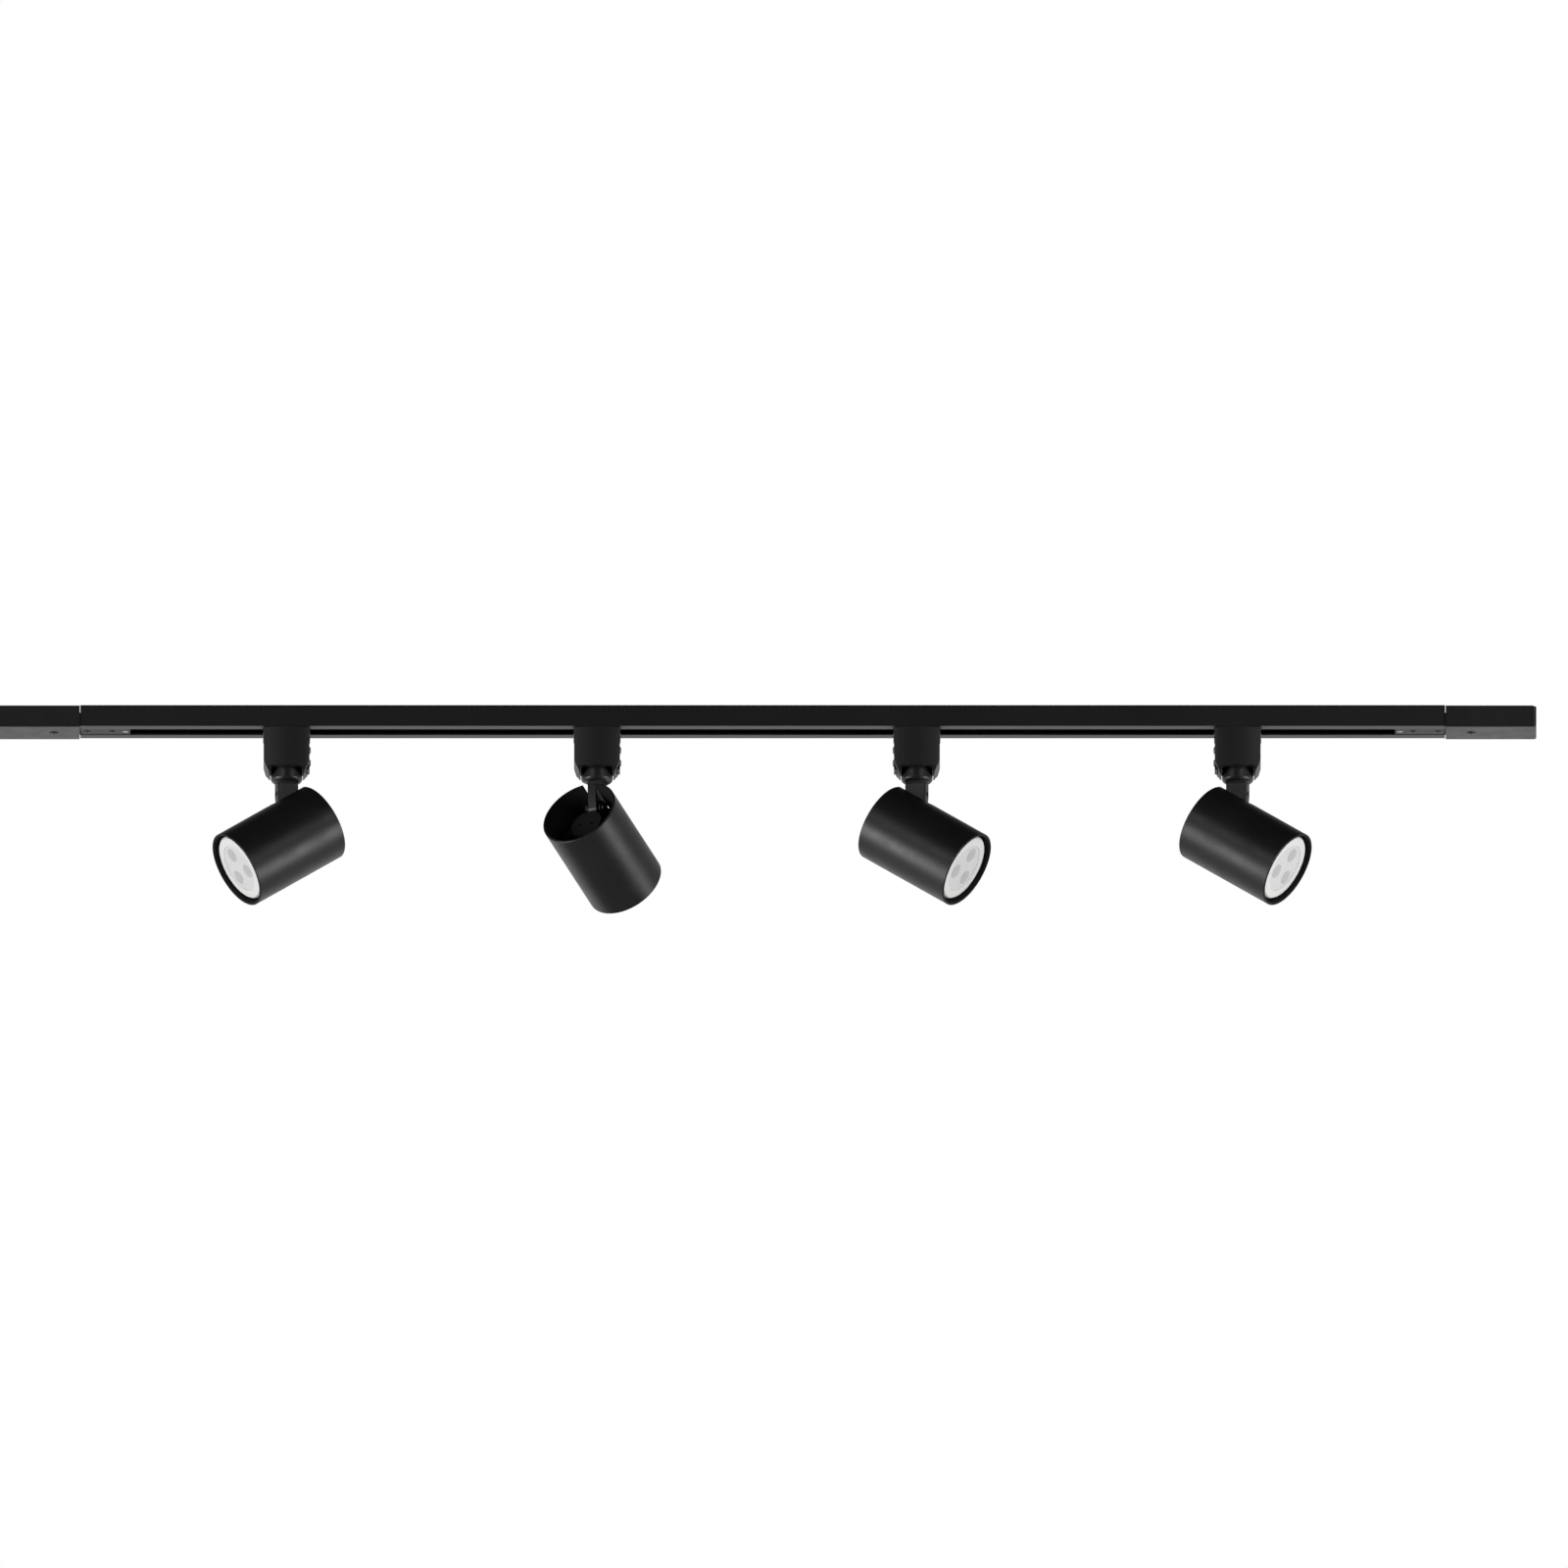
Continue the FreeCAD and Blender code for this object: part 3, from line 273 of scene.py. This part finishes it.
def white_plastic(name, tone, roughness):
    """Satin white lamp housing, a little cloudy."""
    g = Graph(name)
    where = g.position()
    warm = tuple(tone * share for share in LAMP_WARMTH)
    dark = tuple(c * LAMP_SHADE for c in warm)
    g.link(g.tint(g.noise(where, LAMP_CLOUDS), dark, warm), g.shader.inputs["Base Color"])
    grain = g.noise(where, LAMP_GRAIN)
    g.glossy(grain, roughness - 0.03, roughness + 0.04)
    g.surface(g.bump(grain, LAMP_GRAIN_DEPTH))
    return g.material


def frosted_lens(name, tone):
    """Frosted lens over unlit emitters: a soft grey-white face with a fine frosted grain."""
    g = Graph(name)
    where = g.position()
    g.cloudy(g.noise(where, LENS_CLOUDS), tone, LENS_TONES)
    frost = g.noise(where, FROST_GRAIN, 3.0, 0.6)
    g.glossy(frost, *LENS_ROUGHNESS)
    g.surface(g.bump(frost, FROST_DEPTH))
    g.set(IOR=LENS_IOR)
    return g.material


def build_materials():
    return {
        "black_coat": coated_metal("black_coat", 0.010, 0.40),
        "black_track": drawn_metal("black_track", 0.009, 0.42),
        "black_plastic": moulded_plastic("black_plastic", 0.012, 0.48, 0.008 * MM),
        "dark_plastic": moulded_plastic("dark_plastic", 0.018, 0.60, 0.012 * MM),
        "copper": bare_metal("copper", (0.80, 0.42, 0.25), 0.30, 0.3 * MM),
        "dark_screw": bare_metal("dark_screw", (0.06, 0.06, 0.062), 0.38, 0.2 * MM),
        "steel": bare_metal("steel", (0.66, 0.65, 0.62), 0.28, 0.2 * MM),
        # the socket is black plastic, toned darker than the other plastics as painted shade deep
        # inside the lamp shade
        "socket_black": moulded_plastic("socket_black", 0.006, 0.75, 0.012 * MM),
        "lamp_white": white_plastic("lamp_white", 0.88, 0.36),
        # darker than black_coat: painted shadow on the shades' insides, rims and slot edges; the
        # matt roughness is a real finish
        "matt_painted_shadow": coated_metal("matt_painted_shadow", 0.004, 0.75),
        "lens": frosted_lens("lens", 0.78),
        "lenslet": frosted_lens("lenslet", 0.58),
    }


def on_circle(out, radius, angle):
    """Point on a circle about the X axis."""
    return Vector((out, radius * math.cos(angle), radius * math.sin(angle)))


def add_lenslet(build, middle):
    """One low dome with a rib on every other ring of points, down to its rim."""
    rings = []
    steps = 2 * LENSLET_RIBS
    for step in range(1, steps + 1):
        share = step / steps
        rib = LENSLET_RISE * LENSLET_RIB * (step % 2)
        rise = LENSLET_RISE * (1.0 - share * share) + rib
        ring = []
        for spoke in range(LENSLET_SPOKES):
            around = 2 * math.pi * spoke / LENSLET_SPOKES
            ring.append(build.verts.new(middle + on_circle(rise, LENSLET_R * share, around)))
        rings.append(ring)
    tip = build.verts.new(middle + Vector((LENSLET_RISE, 0.0, 0.0)))
    for spoke in range(LENSLET_SPOKES):
        beyond = (spoke + 1) % LENSLET_SPOKES
        build.faces.new((tip, rings[0][spoke], rings[0][beyond]))
        for inner, outer in zip(rings, rings[1:]):
            build.faces.new((inner[spoke], outer[spoke], outer[beyond], inner[beyond]))


def lenslet_mesh():
    """Three moulded lenslets, each a low ribbed dome, facing along +X about the lamp's axis."""
    mesh = bpy.data.meshes.new("lenslets")
    build = bmesh.new()
    for turn in LENSLET_TURNS:
        add_lenslet(build, on_circle(0.0, LENS_DIMPLE_OUT, math.radians(turn)))
    build.to_mesh(mesh)
    build.free()
    mesh.polygons.foreach_set("use_smooth", [True] * len(mesh.polygons))
    return mesh


def lens_place(lens, tilt_joint):
    """Frame of the lens's front face: X out of the lamp, Y along the tilt axis."""
    pivot = Vector(tilt_joint["pos_m"])
    widest = max(lens.data.polygons, key=lambda face: face.area)
    out = widest.normal.copy()
    if out.dot(widest.center - pivot) < 0:
        out.negate()
    across = -Vector(tilt_joint["axis"]).normalized()
    up = out.cross(across)
    place = Matrix((out, across, up)).transposed().to_4x4()
    points = [vertex.co for vertex in lens.data.vertices]
    middle = Vector()
    for axis in (across, up):
        along = [axis.dot(point) for point in points]
        middle += axis * (min(along) + max(along)) / 2
    middle += out * max(out.dot(point) for point in points)
    place.translation = middle - out * LENSLET_SINK
    return place


def paint_shadow_in_shades(frame, material):
    """Matt black on the inside, the rims and the slot edges of each shade, darker than the
    outside: painted shadow over a matt finish.
    """
    joints = {joint["name"]: joint for joint in frame["joints"]}
    for number in HEAD_NUMBERS:
        place = lens_place(frame["nodes"][f"lamp_lens_{number}"], joints[f"tilt_{number}"])
        axis = place.col[0].to_3d()
        start = place.translation
        mesh = frame["nodes"][f"shade_tube_{number}"].data
        mesh.materials.append(material)
        for face in mesh.polygons:
            across = face.center - start
            across -= axis * axis.dot(across)
            if face.normal.dot(across.normalized()) < OUTWARD:
                face.material_index = 1


def build_lenslets(frame, material):
    """Lenslets over each lamp's emitters; they ride with the shade that holds the lamp."""
    joints = {joint["name"]: joint for joint in frame["joints"]}
    for number in HEAD_NUMBERS:
        piece = bpy.data.objects.new(f"lenslets_{number}", lenslet_mesh())
        piece.data.materials.append(material)
        bpy.context.scene.collection.objects.link(piece)
        piece.matrix_world = lens_place(frame["nodes"][f"lamp_lens_{number}"],
                                        joints[f"tilt_{number}"])
        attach(piece, f"shade_{number}")


def dress_frame(frame, materials):
    """Gives each CAD node its material and a small real radius on its sharp edges."""
    slot_of = {row["node"]: row["material_slot"] for row in frame["record"]["subparts"]}
    for name, thing in frame["nodes"].items():
        thing.data.materials.clear()
        thing.data.materials.append(materials[slot_of[name]])
        weld = thing.modifiers.new("weld", "WELD")
        weld.merge_threshold = WELD_GAP
        bevel = thing.modifiers.new("edges", "BEVEL")
        bevel.width = SOFT_EDGE
        bevel.segments = SOFT_EDGE_STEPS
        bevel.limit_method = "ANGLE"
        bevel.angle_limit = SHARP_ANGLE
        bevel.use_clamp_overlap = True
        normals = thing.modifiers.new("normals", "WEIGHTED_NORMAL")
        normals.mode = "FACE_AREA"


# ---- studio ----
def build_floor():
    mesh = bpy.data.meshes.new("floor")
    half = FLOOR_SIZE / 2
    corners = [(-half, -half, FLOOR_Z), (half, -half, FLOOR_Z), (half, half, FLOOR_Z),
               (-half, half, FLOOR_Z)]
    mesh.from_pydata(corners, [], [(0, 1, 2, 3)])
    floor = bpy.data.objects.new("floor", mesh)
    bpy.context.scene.collection.objects.link(floor)
    g = Graph("floor")
    g.set(Base_Color=FLOOR_TONE, Roughness=FLOOR_ROUGHNESS)
    mesh.materials.append(g.material)


def build_room():
    """White room that lights the fixture from behind and below; the camera sees it plain white."""
    world = bpy.data.worlds.new("room")
    bpy.context.scene.world = world
    world.use_nodes = True
    tree = world.node_tree
    background = tree.nodes["Background"]
    background.inputs["Color"].default_value = (1.0, 1.0, 1.0, 1.0)
    coordinates = tree.nodes.new("ShaderNodeTexCoord")
    side = tree.nodes.new("ShaderNodeVectorMath")
    side.operation = "DOT_PRODUCT"
    side.inputs[1].default_value = BRIGHT_SIDE
    ramp = tree.nodes.new("ShaderNodeMapRange")
    ramp.interpolation_type = "SMOOTHSTEP"
    ramp.inputs["From Min"].default_value = BRIGHTENS_FROM
    ramp.inputs["From Max"].default_value = BRIGHT_FROM
    ramp.inputs["To Min"].default_value = FRONT_LIGHT
    ramp.inputs["To Max"].default_value = BACK_LIGHT
    path = tree.nodes.new("ShaderNodeLightPath")
    choose = tree.nodes.new("ShaderNodeMix")
    choose.inputs["B"].default_value = 1.0
    tree.links.new(coordinates.outputs["Generated"], side.inputs[0])
    tree.links.new(side.outputs["Value"], ramp.inputs["Value"])
    tree.links.new(path.outputs["Is Camera Ray"], choose.inputs["Factor"])
    tree.links.new(ramp.outputs["Result"], choose.inputs["A"])
    tree.links.new(choose.outputs["Result"], background.inputs["Strength"])


def soft_box(name, place, size, power):
    data = bpy.data.lights.new(name, "AREA")
    data.shape = "RECTANGLE"
    data.size, data.size_y = size
    data.energy = power
    light = bpy.data.objects.new(name, data)
    bpy.context.scene.collection.objects.link(light)
    light.location = place
    light.rotation_mode = "QUATERNION"
    light.rotation_quaternion = (Vector(LIGHTS_AIM) - Vector(place)).to_track_quat("-Z", "Y")
    light.visible_camera = False


def build_lights():
    """Two pairs of soft boxes, mirrored left and right: large low ones and small high ones."""
    for side, name in ((-1, "left"), (1, "right")):
        for level, box in (("low", LOW_BOX), ("high", HIGH_BOX)):
            x, y, z = box["place"]
            soft_box(f"{name}_{level}", (side * x, y, z), box["size"], box["power"])


def main():
    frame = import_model()
    scene = bpy.context.scene
    scene.view_settings.view_transform = "Standard"
    build_camera()
    build_floor()
    build_room()
    build_lights()
    materials = build_materials()
    dress_frame(frame, materials)
    paint_shadow_in_shades(frame, materials["matt_painted_shadow"])
    build_lenslets(frame, materials["lenslet"])


main()
